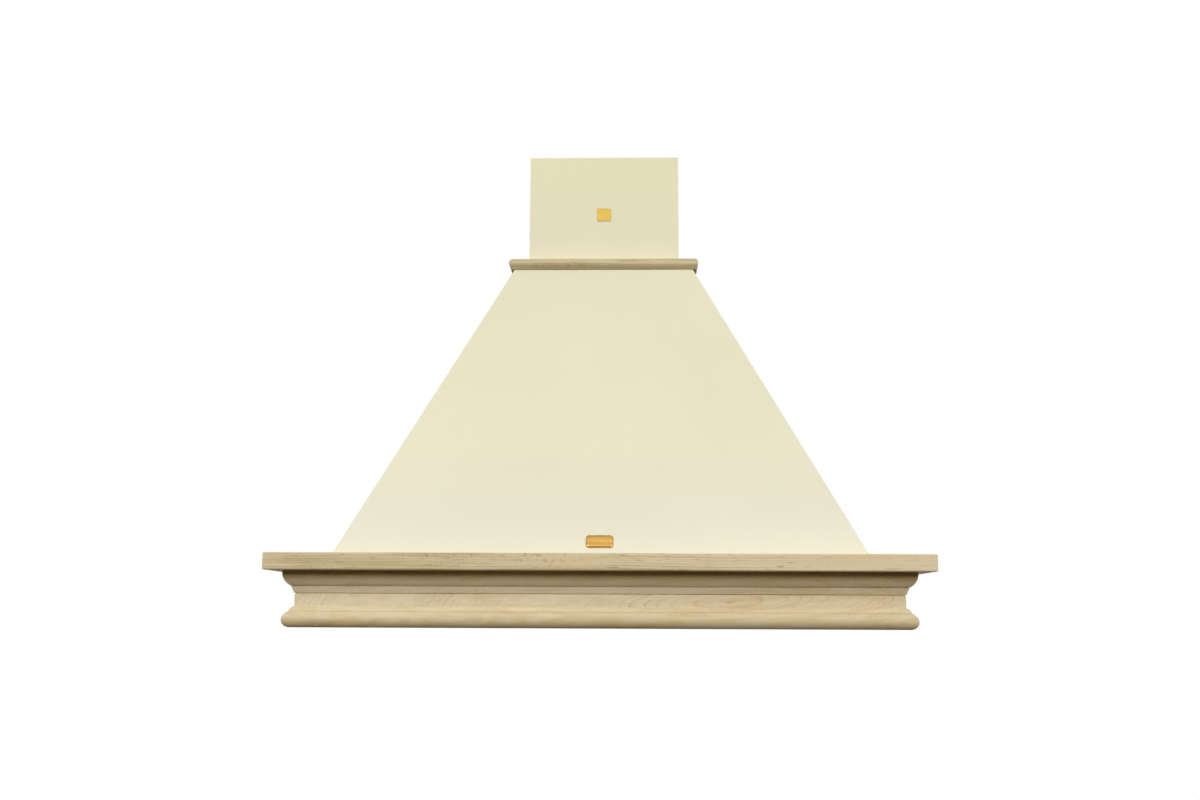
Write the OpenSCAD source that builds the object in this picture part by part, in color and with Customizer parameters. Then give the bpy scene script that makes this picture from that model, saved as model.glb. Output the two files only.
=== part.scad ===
// Chimney range hood with an oak shelf, a moulded oak cornice and a painted steel canopy.
// X runs to the right, Y to the wall and Z up. The origin is on the wall, at mid width, level
// with the hood's lower edge. All sizes are in millimetres.

/* [Overall] */
// Width of the oak shelf, the widest piece
hood_w = 900; // [850:10:1200]
// Depth from the wall to the shelf's front edge
hood_d = 500; // [440:5:580]
// Height of the sloping canopy, from the shelf to the neck
canopy_h = 460; // [445:5:560]

/* [Oak frame] */
// Height of the moulded cornice under the shelf
cornice_h = 76.4; // [71:0.2:95]
// Thickness of the shelf
shelf_t = 23.2; // [18:0.2:30]
// Distance from the shelf's edge to the foot of the canopy
base_inset = 75; // [70:1:90]
// Rounding of the shelf's edges
edge_round = 2; // [1:0.5:4]
// Setback of the cornice's top fillet from the shelf's edge
fillet_setback = 21.8; // [18:0.2:24]
// Height of the cornice's top fillet
fillet_h = 3.3; // [2:0.1:5]
// Radius of the ovolo under the fillet
ovolo_r = 20; // [19:0.5:24]
// Height of the ovolo
ovolo_h = 17; // [15:0.5:18]
// Height of the slanted band between the ovolo and the frieze
band_h = 9.6; // [7:0.2:11.6]
// Setback of the flat frieze from the shelf's edge
frieze_setback = 36.3; // [36:0.1:40]
// Setback of the bullnose along the lower edge
nose_setback = 22.4; // [20:0.1:24]
// Radius of the bullnose's lower half
nose_low_r = 9.8; // [8:0.2:11]
// Radius of the bullnose's upper half
nose_top_r = 13; // [12:0.5:14]
// Radius of the bead above the bullnose
bead_r = 8.4; // [7.2:0.2:12]
// Height of the bead
bead_h = 6.8; // [5.5:0.1:7]
// Gap between the oak and the steel
wood_gap = 0.3; // [0.2:0.1:1]

/* [Neck trim] */
// Width of the oak trim round the neck
trim_w = 29.6; // [26:0.2:36]
// Height of the trim
trim_h = 18.5; // [15:0.1:26]
// Rounding of the trim's top edge
trim_round = 8.7; // [5:0.1:9]
// How far the lower half of the trim slants in
trim_taper = 3.3; // [1:0.1:6]

/* [Canopy] */
// Width of the canopy at the neck
neck_w = 282; // [272:1:292]
// Depth of the canopy at the neck
neck_d = 245; // [238:1:248]
// Thickness of the painted steel
sheet = 1.2; // [0.8:0.1:2]
// Width of the folded flanges
flange_w = 15; // [10:1:18]
// Thickness of the galvanised back
back_t = 1; // [0.8:0.1:2]

/* [Flue cover] */
// Width of the flue cover
flue_w = 240; // [234:1:250]
// Depth of the flue cover
flue_d = 220; // [214:1:226]
// Height of the lower flue cover above the neck
flue_h = 194.6; // [180:0.2:400]
// Thickness of the flue steel
flue_sheet = 1; // [0.8:0.1:1.5]
// Sliding gap between the two flue covers
flue_gap = 0.5; // [0.3:0.1:1]

/* [Underside] */
// Height of the underside panel above the hood's lower edge
recess = 24; // [20:1:30]
// Thickness of the underside panel
panel_t = 1; // [0.8:0.1:2]
// Width of one grease filter
filter_w = 320; // [280:5:330]
// Depth of the strip in front of the filters, which holds the lamps and the switches
strip_d = 64.3; // [62:0.1:90]
// Distance from the wall to the filters
filter_rear_gap = 54; // [48:1:90]
// Thickness of a grease filter
filter_t = 10; // [9:0.5:12]
// Gap round a filter
filter_gap = 1; // [0.6:0.1:2]
// Radius of a filter's hinge pins
hinge_pin_r = 2; // [1.5:0.1:2.5]
// Radius of a lamp's bezel
lamp_r = 28; // [24:1:30]
// Radius of a push button
button_r = 6.5; // [5:0.5:8]
// Distance between push buttons
button_pitch = 22; // [20:1:26]
// Travel of a push button
button_travel = 2.5; // [1.5:0.1:3]

/* [Blower] */
// Outer radius of the impeller
impeller_r = 68; // [60:1:70]
// Length of the impeller
impeller_w = 116; // [90:2:120]
// Number of blades round the impeller
blade_count = 36; // [24:1:40]
// Step between the arcs of the scroll
scroll_step = 12; // [8:1:14]
// Wall of the blower housing
housing_wall = 2.5; // [2:0.1:3]
// Height of the impeller's axis below the neck
blower_drop = 228; // [220:1:240]
// Radius of the motor
motor_r = 36; // [30:1:40]

/* [Duct] */
// Outer radius of the duct collar
collar_r = 74.5; // [70:0.5:76]
// Wall of the duct collar
collar_wall = 1.5; // [1.2:0.1:2]
// Height of the duct collar above the neck plate
collar_h = 68; // [60:1:76]

/* [Fixings] */
// Radius of a safety screw's hole in the back
safety_hole_r = 3.5; // [2.5:0.1:4.5]
// Distance between the two safety screws
safety_pitch = 600; // [500:10:680]
// Distance between the two keyholes
keyhole_pitch = 260; // [200:10:280]
// Radius of a keyhole's round end
keyhole_r = 6; // [5:0.5:8]
// Radius of the sheet metal screws
screw_r = 2; // [1.5:0.1:2.5]

/* [Hidden] */
$fn = 48;

// Colours of the finishes
oak = [0.80, 0.72, 0.56];
cream = [0.91, 0.88, 0.76];
brass = [0.86, 0.66, 0.22];
zinc = [0.72, 0.74, 0.76];
alloy = [0.80, 0.81, 0.82];
steel = [0.62, 0.63, 0.64];
dark = [0.16, 0.16, 0.17];
grey = [0.45, 0.46, 0.48];
frost = [0.93, 0.94, 0.92];

// Margins for cuts that run past a face, and for cutting blocks
eps = 0.5;
far = 2 * hood_w;
close_fit = 0.05;
seat_gap = 0.3;

// Main levels and half widths
base_z = cornice_h + shelf_t;
neck_z = base_z + canopy_h;
half_w = hood_w / 2;
foot_x = half_w - base_inset;
foot_y = hood_d - base_inset;
neck_x = neck_w / 2;
skirt_z = recess - sheet;
slope_x = (foot_x - neck_x) / canopy_h;
slope_y = (foot_y - neck_d) / canopy_h;
board_w = base_inset - wood_gap;
front_tilt = atan(slope_y);

// Neck plate under the canopy's top flanges
neck_plate_z = neck_z - 2 * sheet;
neck_floor = neck_z - sheet;

// Duct centre
duct_y = -flue_d / 2;
collar_in = collar_r - collar_wall;

// Draws a (Y, Z) outline along X, centred
module along_x(length) {
    rotate([90, 0, 90]) linear_extrude(length, center = true) children();
}

// Draws a (Y, Z) outline along X from one place to another
module from_x(low, high) {
    translate([low, 0, 0]) rotate([90, 0, 90]) linear_extrude(high - low) children();
}

// Draws an (X, Z) outline along Y from one place to another
module from_y(low, high) {
    translate([0, high, 0]) rotate([90, 0, 0]) linear_extrude(high - low) children();
}

// A block given by its lowest and highest corners
module block(low, high) {
    translate(low) cube(high - low);
}

// Oak frame: the shelf and the cornice are mitred at the two front corners

// Cuts a front moulding to its mitres
module mitre_front(half, depth, board) {
    m = board / 4;
    intersection() {
        children();
        linear_extrude(2 * far, center = true) polygon([
            [-half - m, -depth - m], [half + m, -depth - m],
            [half - board - m, -depth + board + m], [-half + board + m, -depth + board + m]
        ]);
    }
}

// Cuts a right side moulding to its mitre
module mitre_side(half, depth, board) {
    m = board / 4;
    intersection() {
        children();
        linear_extrude(2 * far, center = true) polygon([
            [half + m, -depth - m], [half + m, m],
            [half - board - m, m], [half - board - m, -depth + board + m]
        ]);
    }
}

// A front moulding from a section whose x is the distance outward from its own edge
module front_moulding(half, depth, board) {
    mitre_front(half, depth, board) along_x(2 * half) translate([-depth, 0]) mirror([1, 0]) children();
}

// A right side moulding from the same section
module side_moulding(half, depth, board) {
    mitre_side(half, depth, board) from_y(-depth, 0) translate([half, 0]) children();
}

// Section of the shelf, with its two outer edges rounded
module shelf_section() {
    r = edge_round;
    union() {
        translate([-board_w, cornice_h]) square([board_w - r, shelf_t]);
        translate([-2 * r, cornice_h + r]) square([2 * r, shelf_t - 2 * r]);
        translate([-r, cornice_h + r]) circle(r);
        translate([-r, base_z - r]) circle(r);
    }
}

// Section of the cornice: fillet, ovolo, slanted band, grooved frieze, bead and bullnose
quirk = 0.7;
frieze_groove_h = 1.3;
frieze_groove_d = 0.9;
ovolo_z = cornice_h - fillet_h;
ovolo_low = ovolo_z - ovolo_h;
ovolo_end = -fillet_setback - ovolo_r + sqrt(ovolo_r * ovolo_r - ovolo_h * ovolo_h);
band_low = ovolo_low - band_h;
bead_reach = 7.7;
bead_out = nose_setback + bead_reach;
nose_top = nose_low_r + sqrt(nose_top_r * nose_top_r - pow(nose_top_r - bead_reach, 2));

// Centre of the bead's arc, which runs from its outer lower corner up to the frieze
bead_run = frieze_setback - bead_out;
bead_chord = norm([bead_run, bead_h]);
bead_sag = sqrt(bead_r * bead_r - bead_chord * bead_chord / 4);
bead_x = -frieze_setback + bead_run / 2 - bead_sag * bead_h / bead_chord;
bead_z = nose_top + bead_h / 2 - bead_sag * bead_run / bead_chord;

module cornice_section() {
    core = frieze_setback + frieze_groove_d + eps;
    union() {
        translate([-board_w, 0]) square([board_w - frieze_setback, band_low - frieze_groove_h]);
        translate([-board_w, 0]) square([board_w - frieze_setback - frieze_groove_d, cornice_h]);
        translate([-core, ovolo_z]) square([core - fillet_setback, fillet_h]);
        intersection() {
            translate([-fillet_setback - ovolo_r, ovolo_z]) circle(ovolo_r);
            translate([-core, ovolo_low]) square([core, ovolo_h + eps]);
        }
        polygon([
            [-core, band_low], [-frieze_setback + quirk, band_low],
            [ovolo_end - quirk, ovolo_low - quirk], [ovolo_end - 2 * quirk, ovolo_low - quirk],
            [ovolo_end - 2 * quirk, ovolo_low + eps], [-core, ovolo_low + eps]
        ]);
        intersection() {
            translate([bead_x, bead_z]) circle(bead_r);
            translate([-core, nose_top - eps]) square([core - bead_out + eps, bead_h + eps]);
        }
        intersection() {
            translate([-nose_setback - nose_top_r, nose_low_r]) circle(nose_top_r);
            translate([-core, nose_low_r - eps]) square([core, 2 * nose_top_r]);
        }
        translate([-core, 0]) square([core - nose_setback - nose_low_r, nose_low_r]);
        translate([-nose_setback - nose_low_r, nose_low_r]) circle(nose_low_r);
    }
}

module shelf_front() {
    color(oak) front_moulding(half_w, hood_d, board_w) shelf_section();
}

module shelf_right() {
    color(oak) side_moulding(half_w, hood_d, board_w) shelf_section();
}

module shelf_left() {
    mirror([1, 0, 0]) shelf_right();
}

// Screws that hold the cornice from inside the skirt
cornice_screw_z = (skirt_z + cornice_h) / 2;
cornice_screw_l = 22;
cornice_screw_x = [-0.75 * foot_x, -0.25 * foot_x, 0.25 * foot_x, 0.75 * foot_x];
cornice_screw_y = [-0.8 * foot_y, -0.25 * foot_y];
screw_head_r = 2 * screw_r;
screw_head_t = 1.6;

// Places a screw, whose own axis is Z with its head below zero, at each front and side place
module at_front_screws() {
    for (x = cornice_screw_x)
        translate([x, -foot_y + sheet, cornice_screw_z]) rotate([90, 0, 0]) children();
}

module at_right_screws() {
    for (y = cornice_screw_y)
        translate([foot_x - sheet, y, cornice_screw_z]) rotate([0, 90, 0]) children();
}

module wood_screw() {
    translate([0, 0, -screw_head_t]) cylinder(h = screw_head_t, r = screw_head_r);
    translate([0, 0, -eps]) cylinder(h = cornice_screw_l + eps, r = screw_r);
}

module wood_screw_hole() {
    translate([0, 0, -eps]) cylinder(h = cornice_screw_l + 2 * eps, r = screw_r + close_fit);
}

module cornice_front() {
    color(oak) difference() {
        front_moulding(half_w, hood_d, board_w) cornice_section();
        at_front_screws() wood_screw_hole();
    }
}

module cornice_right() {
    color(oak) difference() {
        side_moulding(half_w, hood_d, board_w) cornice_section();
        at_right_screws() wood_screw_hole();
    }
}

module cornice_left() {
    mirror([1, 0, 0]) cornice_right();
}

module cornice_screws() {
    color(steel) {
        at_front_screws() wood_screw();
        at_right_screws() wood_screw();
        mirror([1, 0, 0]) at_right_screws() wood_screw();
    }
}

// Oak trim round the neck
trim_half = flue_w / 2 + wood_gap + trim_w;
trim_depth = flue_d + wood_gap + trim_w;

module trim_section() {
    mid = trim_h / 2;
    translate([0, neck_z]) union() {
        polygon([
            [-trim_w, 0], [-trim_taper, 0], [-quirk / 2, mid], [0, mid], [0, trim_h - trim_round],
            [-trim_round, trim_h - trim_round], [-trim_round, trim_h], [-trim_w, trim_h]
        ]);
        translate([-trim_round, trim_h - trim_round]) circle(trim_round);
    }
}

module neck_trim_front() {
    color(oak) front_moulding(trim_half, trim_depth, trim_w) trim_section();
}

module neck_trim_right() {
    color(oak) side_moulding(trim_half, trim_depth, trim_w) trim_section();
}

module neck_trim_left() {
    mirror([1, 0, 0]) neck_trim_right();
}

// Canopy: three folded steel panels with a skirt inside the oak frame

// Outline across the canopy, drawn in by an inset
module across(inset, low = skirt_z) {
    polygon([
        [-foot_x + inset, low], [foot_x - inset, low], [foot_x - inset, base_z],
        [neck_x - inset, neck_z], [-neck_x + inset, neck_z], [-foot_x + inset, base_z]
    ]);
}

// Outline from the front to the wall
module along(inset) {
    polygon([
        [-foot_y + inset, skirt_z], [0, skirt_z], [0, neck_z],
        [-neck_d + inset, neck_z], [-foot_y + inset, base_z]
    ]);
}

// Section of a panel's sheet, without its flanges
module sheet_section(foot, neck) {
    polygon([
        [foot, skirt_z], [foot, base_z], [neck, neck_z],
        [neck - sheet, neck_z], [foot - sheet, base_z], [foot - sheet, skirt_z]
    ]);
}

// Section of a folded panel, from its top flange to its bottom flange
module fold(foot, neck, slope, flange) {
    polygon([
        [foot, skirt_z], [foot, base_z], [neck, neck_z], [neck - flange, neck_z],
        [neck - flange, neck_z - sheet], [neck - sheet + slope * sheet, neck_z - sheet],
        [foot - sheet, base_z], [foot - sheet, skirt_z + sheet], [foot - flange, skirt_z + sheet],
        [foot - flange, skirt_z]
    ]);
}

module flange_hole() {
    translate([0, 0, -eps]) cylinder(h = sheet + 2 * eps, r = screw_r + close_fit);
}

module canopy_front_panel() {
    color(cream) difference() {
        union() {
            intersection() {
                along_x(2 * foot_x + eps) mirror([1, 0]) sheet_section(foot_y, neck_d);
                from_y(-hood_d, 0) across(0);
            }
            intersection() {
                along_x(2 * foot_x) mirror([1, 0]) fold(foot_y, neck_d, slope_y, flange_w);
                from_y(-hood_d, 0) across(flange_w + 2 * eps);
            }
        }
        at_front_screws() wood_screw_hole();
        at_front_underside_screws() flange_hole();
    }
}

module canopy_right_panel() {
    color(cream) difference() {
        union() {
            intersection() {
                from_y(-foot_y + sheet, -back_t) sheet_section(foot_x, neck_x);
                along_x(far) along(sheet);
            }
            intersection() {
                from_y(-foot_y + sheet, -back_t) fold(foot_x, neck_x, slope_x, flange_w);
                along_x(far) along(sheet + 2 * eps);
            }
            intersection() {
                from_y(-back_t - sheet, -back_t) difference() {
                    across(0);
                    across(flange_w, skirt_z - eps);
                }
                block([0, -hood_d, 0], [far, 0, neck_z]);
            }
        }
        at_right_screws() wood_screw_hole();
        at_right_underside_screws() flange_hole();
    }
}

module canopy_left_panel() {
    mirror([1, 0, 0]) canopy_right_panel();
}

// A flat plate with rounded corners, standing up from z = 0
module rounded_plate(w, h, t, r) {
    linear_extrude(t) union() {
        square([w - 2 * r, h], center = true);
        square([w, h - 2 * r], center = true);
        for (x = [-1, 1], y = [-1, 1])
            translate([x * (w / 2 - r), y * (h / 2 - r)]) circle(r);
    }
}

// Bare brass plate low on the canopy, whose rim curves down from its raised middle
plate_w = 38;
plate_h = 19;
plate_t = 0.8;
plate_rise = 1.6;
plate_rim = 3.2;
plate_corner = 4;
plate_up = 19.8;
rim_steps = 6;

module canopy_plate() {
    color(brass)
        translate([0, -foot_y + slope_y * plate_up, base_z + plate_up])
        rotate([90 - front_tilt, 0, 0])
        hull() for (i = [0 : rim_steps]) {
            a = 90 * i / rim_steps;
            inset = plate_rim * (1 - cos(a));
            rounded_plate(
                plate_w - 2 * inset, plate_h - 2 * inset, plate_t + plate_rise * sin(a), plate_corner - inset
            );
        }
}

// Back panel, with keyholes to hang the hood and holes for the safety screws
keyhole_drop = 130;
keyhole_z = neck_z - keyhole_drop;
keyhole_slot = keyhole_r / 2;
safety_z = 58;

module back_panel() {
    color(zinc) difference() {
        from_y(-back_t, 0) intersection() {
            across(0, 0);
            translate([-far, 0]) square([2 * far, neck_floor]);
        }
        for (x = [-1, 1]) {
            translate([x * keyhole_pitch / 2, eps, keyhole_z]) rotate([90, 0, 0])
                cylinder(h = back_t + 2 * eps, r = keyhole_r);
            block(
                [x * keyhole_pitch / 2 - keyhole_slot, -back_t - eps, keyhole_z],
                [x * keyhole_pitch / 2 + keyhole_slot, eps, keyhole_z + 3 * keyhole_r]
            );
            translate([x * safety_pitch / 2, eps, safety_z]) rotate([90, 0, 0])
                cylinder(h = back_t + 2 * eps, r = safety_hole_r);
        }
    }
}

// Neck plate, which carries the flue cover, the duct collar and the blower
gland_inset = 26;
gland_x = flue_w / 2 - gland_inset;
gland_y = -gland_inset;
gland_r = 8;

module neck_plate() {
    edge_x = neck_x - sheet - eps;
    color(zinc) difference() {
        block(
            [-edge_x, -neck_d + sheet + eps, neck_plate_z],
            [edge_x, -back_t - sheet - eps, neck_floor]
        );
        translate([0, duct_y, neck_plate_z - eps])
            cylinder(h = sheet + 2 * eps, r = collar_r + seat_gap);
        translate([gland_x, gland_y, neck_plate_z - eps])
            cylinder(h = sheet + 2 * eps, r = gland_r + close_fit);
    }
}

// Flue covers: two channels open to the wall, one inside the other
flue_lip = 12;
flue_foot = 10;

// Plan of a flue cover
module flue_plan(half, front, back) {
    difference() {
        translate([-half, -front]) square([2 * half, front - back]);
        translate([-half + flue_sheet, -front + flue_sheet])
            square([2 * (half - flue_sheet), front - back - 2 * flue_sheet]);
        translate([-half + flue_lip, -back - 2 * flue_sheet]) square([2 * (half - flue_lip), 3 * flue_sheet]);
    }
}

module flue_cover_lower() {
    half = flue_w / 2;
    color(cream) union() {
        translate([0, 0, neck_floor]) linear_extrude(flue_h + sheet) flue_plan(half, flue_d, 0);
        translate([0, 0, neck_floor]) linear_extrude(flue_sheet) difference() {
            translate([-half, -flue_d]) square([2 * half, flue_d]);
            translate([-half + flue_foot, -flue_d + flue_foot]) square([2 * (half - flue_foot), flue_d]);
        }
    }
}

inner_half = flue_w / 2 - flue_sheet - flue_gap;
inner_front = flue_d - flue_sheet - flue_gap;
inner_back = flue_sheet + flue_gap;
inner_z = neck_floor + flue_sheet + seat_gap;
inner_top = neck_z + flue_h - flue_gap;
vent_count = 6;
vent_w = 8;
vent_h = 50;
vent_pitch = 22;

module flue_cover_upper() {
    color(cream) difference() {
        translate([0, 0, inner_z]) linear_extrude(inner_top - inner_z)
            flue_plan(inner_half, inner_front, inner_back);
        for (i = [0 : vent_count - 1]) {
            y = duct_y + (i - (vent_count - 1) / 2) * vent_pitch;
            translate([-far / 2, y - vent_w / 2, inner_top - 2 * vent_h]) cube([far, vent_w, vent_h]);
        }
    }
}

// Bare brass badge on the flue cover
badge_w = 22;
badge_h = 21;
badge_t = 1.2;
badge_corner = 1.8;
badge_up = 98;
badge_z = neck_z + badge_up;

module flue_badge() {
    color(brass) translate([0, -flue_d, badge_z]) rotate([90, 0, 0]) difference() {
        rounded_plate(badge_w, badge_h, badge_t, badge_corner);
        translate([0, 0, 2 * badge_t / 3])
            rounded_plate(badge_w - 2, badge_h - 2, badge_t, badge_corner - 1);
    }
}

// Wall bracket that the inner flue cover slides over
bracket_h = 25;
bracket_t = 1.5;
bracket_ear = 45;
bracket_drop = 44;
bracket_z = inner_top - bracket_drop;
bracket_hole_pitch = 120;
bracket_hole_r = 3;

module flue_wall_bracket() {
    half = inner_half - flue_sheet - seat_gap;
    inset = flue_lip + flue_sheet + flue_gap;
    back = inner_back + flue_sheet + seat_gap;
    color(zinc) difference() {
        union() {
            block([-half + inset, -bracket_t, bracket_z], [half - inset, 0, bracket_z + bracket_h]);
            for (x = [-1, 1]) {
                low = min(x * half, x * (half - bracket_t));
                block([low, -back - bracket_ear, bracket_z], [low + bracket_t, -back, bracket_z + bracket_h]);
                reach = min(x * half, x * (half - inset - bracket_t));
                block(
                    [reach, -back - bracket_t, bracket_z],
                    [reach + inset + bracket_t, -back, bracket_z + bracket_h]
                );
                web = min(x * (half - inset), x * (half - inset - bracket_t));
                block([web, -back - bracket_t, bracket_z], [web + bracket_t, 0, bracket_z + bracket_h]);
            }
        }
        for (x = [-1, 1])
            translate([x * bracket_hole_pitch / 2, eps, bracket_z + bracket_h / 2]) rotate([90, 0, 0])
                cylinder(h = bracket_t + 2 * eps, r = bracket_hole_r);
    }
}

// Underside: panel, grease filters, lamps and switches
panel_top = recess + panel_t;
panel_x = foot_x - sheet - eps;
panel_front = -foot_y + sheet + eps;
panel_back = -back_t - sheet - eps;
panel_lip = 14;
filter_bar = 20;
filter_x = (filter_w + filter_bar) / 2;
filter_rear = -filter_rear_gap;
filter_front = panel_front + flange_w + strip_d;
filter_z = recess - panel_t;
rear_room = 3;
hinge_in = 6;
hinge_y = filter_rear - hinge_in;
hinge_z = filter_z + 0.6 * filter_t;
hinge_reach = 4;
strip_y = filter_front - strip_d / 2;
lamp_x = 0.66 * foot_x;
lamp_body_r = lamp_r - 4;
switch_w = 4 * button_pitch + 28;
switch_d = 26;
switch_lip = 6;
panel_screw_l = 6.2;
underside_screw_x = [-0.72 * foot_x, 0, 0.72 * foot_x];
underside_screw_y = [-0.62 * foot_y, -0.22 * foot_y];

module at_front_underside_screws() {
    for (x = underside_screw_x) translate([x, -foot_y + flange_w / 2, skirt_z]) children();
}

module at_right_underside_screws() {
    for (y = underside_screw_y) translate([foot_x - flange_w / 2, y, skirt_z]) children();
}

module at_underside_screws() {
    at_front_underside_screws() children();
    at_right_underside_screws() children();
    mirror([1, 0, 0]) at_right_underside_screws() children();
}

module underside_screws() {
    color(steel) at_underside_screws() difference() {
        union() {
            translate([0, 0, -screw_head_t]) cylinder(h = screw_head_t, r = screw_head_r);
            translate([0, 0, -eps]) cylinder(h = panel_screw_l, r = screw_r);
        }
        for (turn = [0, 90]) rotate(turn) translate([-screw_r, -screw_r / 6, -2 * screw_head_t])
            cube([2 * screw_r, screw_r / 3, 1.4 * screw_head_t]);
    }
}

module underside_panel() {
    color(cream) difference() {
        union() {
            block([-panel_x, panel_front, recess], [panel_x, panel_back, panel_top]);
            block([-panel_x, panel_back - panel_t, recess], [panel_x, panel_back, recess + panel_lip]);
        }
        for (side = [-1, 1]) {
            half = filter_w / 2 + filter_gap;
            block(
                [side * filter_x - half, filter_front - filter_gap, recess - eps],
                [side * filter_x + half, filter_rear + rear_room, panel_top + eps]
            );
            block(
                [side * filter_x - half - hinge_reach, hinge_y - hinge_in, recess - eps],
                [side * filter_x + half + hinge_reach, hinge_y + hinge_in, panel_top + eps]
            );
            translate([side * lamp_x, strip_y, recess - eps])
                cylinder(h = panel_t + 2 * eps, r = lamp_body_r + seat_gap);
        }
        block(
            [-switch_w / 2 - seat_gap, strip_y - switch_d / 2 - seat_gap, recess - eps],
            [switch_w / 2 + seat_gap, strip_y + switch_d / 2 + seat_gap, panel_top + eps]
        );
        at_underside_screws() translate([0, 0, -eps])
            cylinder(h = sheet + panel_t + 2 * eps, r = screw_r + close_fit);
    }
}

// Hooks that carry the filters' rear pins
hook_t = 2;
hook_h = 12;
hook_room = 0.3;

module filter_hooks() {
    color(zinc) for (side = [-1, 1], end = [-1, 1]) {
        inner = side * filter_x + end * (filter_w / 2 + filter_gap + hinge_reach / 4);
        low = min(inner, inner + end * hook_t);
        difference() {
            block(
                [low, hinge_y - hinge_pin_r - 2, panel_top],
                [low + hook_t, filter_rear + rear_room + 2 * hinge_in, panel_top + hook_h]
            );
            translate([low - eps, hinge_y, hinge_z]) rotate([0, 90, 0])
                cylinder(h = hook_t + 2 * eps, r = hinge_pin_r + hook_room);
            block(
                [low - eps, hinge_y - 3 * hinge_in, hinge_z - hinge_pin_r - hook_room],
                [low + hook_t + eps, hinge_y, hinge_z + hinge_pin_r + hook_room]
            );
            block(
                [low - eps, hinge_y - 3 * hinge_in, hinge_z],
                [low + hook_t + eps, hinge_y - hinge_pin_r - hook_room, panel_top + hook_h + eps]
            );
        }
    }
}

// Grease filter: a frame with a pleated mesh in its groove and a latch in its front rail
rail = 12;
front_rail = 24;
groove = 3;
groove_h = 0.6 * filter_t;
latch_w = 40;
latch_neck = 32;
latch_d = 7;
latch_travel = 5;
latch_t = 1.7;
latch_z = filter_z + 2.8;
latch_room_z = 5;
latch_tab = 5;
pocket_front = filter_front + 4;
pocket_d = latch_d + latch_travel + 2;
tongue_w = 16;

module filter_frame(side) {
    x = side * filter_x;
    mid = filter_z + filter_t / 2;
    color(alloy) difference() {
        union() {
            block(
                [x - filter_w / 2, filter_front, filter_z],
                [x + filter_w / 2, filter_rear, filter_z + filter_t]
            );
            translate([x - filter_w / 2 - hinge_reach, hinge_y, hinge_z]) rotate([0, 90, 0])
                cylinder(h = filter_w + 2 * hinge_reach, r = hinge_pin_r);
        }
        block(
            [x - filter_w / 2 + rail, filter_front + front_rail, filter_z - eps],
            [x + filter_w / 2 - rail, filter_rear - rail, filter_z + filter_t + eps]
        );
        block(
            [x - filter_w / 2 + rail - groove, filter_front + front_rail - groove, mid - groove_h / 2],
            [x + filter_w / 2 - rail + groove, filter_rear - rail + groove, mid + groove_h / 2]
        );
        block(
            [x - latch_neck / 2 - seat_gap, pocket_front, filter_z - eps],
            [x + latch_neck / 2 + seat_gap, pocket_front + pocket_d, latch_z + eps]
        );
        block(
            [x - latch_w / 2 - seat_gap, pocket_front, latch_z - seat_gap],
            [x + latch_w / 2 + seat_gap, pocket_front + pocket_d, filter_z + latch_room_z]
        );
        block(
            [x - tongue_w / 2 - seat_gap, filter_front - eps, latch_z - seat_gap],
            [x + tongue_w / 2 + seat_gap, pocket_front + eps, filter_z + latch_room_z]
        );
    }
}

// Pleats of the mesh, run across the filter
pleat_count = 24;
pleat_rise = 1.6;
pleat_t = 1.4;

mesh_start = filter_front + front_rail - groove + seat_gap;
mesh_end = filter_rear - rail + groove - seat_gap;
mesh_z = filter_z + filter_t / 2;

function pleat_point(i, side) = [
    mesh_start + i * (mesh_end - mesh_start) / (2 * pleat_count),
    mesh_z + side * pleat_t / 2 + pleat_rise * (i % 2 - 0.5)
];

module filter_mesh(side) {
    low = [for (i = [0 : 2 * pleat_count]) pleat_point(i, -1)];
    high = [for (i = [2 * pleat_count : -1 : 0]) pleat_point(i, 1)];
    half = filter_w / 2 - rail + groove - seat_gap;
    color(alloy) from_x(side * filter_x - half, side * filter_x + half) polygon(concat(low, high));
}

module filter_latch(side) {
    x = side * filter_x;
    back = pocket_front + seat_gap + latch_d;
    front = pocket_front + seat_gap;
    color(dark) union() {
        block([x - latch_w / 2, front, latch_z], [x + latch_w / 2, back, latch_z + latch_t]);
        block([x - latch_neck / 2, front, filter_z + seat_gap], [x + latch_neck / 2, back, latch_z + eps]);
        block(
            [x - tongue_w / 2, filter_front - filter_gap / 2, latch_z],
            [x + tongue_w / 2, front + eps, latch_z + latch_t]
        );
        block(
            [x - 0.4 * latch_neck, front + 2, filter_z - latch_tab],
            [x + 0.4 * latch_neck, back - 2, filter_z + 2 * seat_gap]
        );
    }
}

module filter_frame_left() { filter_frame(-1); }
module filter_frame_right() { filter_frame(1); }
module filter_mesh_left() { filter_mesh(-1); }
module filter_mesh_right() { filter_mesh(1); }
module filter_latch_left() { filter_latch(-1); }
module filter_latch_right() { filter_latch(1); }

// Lamps: bezel under the panel, lens in the bezel, finned body above
bezel_t = 2.5;
lens_r = lamp_r - 9;
lens_t = 2;
lamp_h = 30;
fin_count = 6;
fin_depth = 4;

module lamp_bezel(side) {
    color(alloy) translate([side * lamp_x, strip_y, recess - bezel_t]) rotate_extrude() union() {
        translate([lens_r + close_fit, 0]) square([lamp_r - lens_r - bezel_t, bezel_t]);
        intersection() {
            translate([lamp_r - bezel_t - close_fit, bezel_t]) circle(bezel_t);
            translate([lamp_r - 2 * bezel_t, 0]) square([3 * bezel_t, bezel_t]);
        }
    }
}

module lamp_lens(side) {
    color(frost) translate([side * lamp_x, strip_y, recess - bezel_t + eps]) union() {
        cylinder(h = bezel_t, r = lens_r);
        translate([0, 0, bezel_t - eps]) cylinder(h = lens_t, r = lens_r + 3);
    }
}

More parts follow.
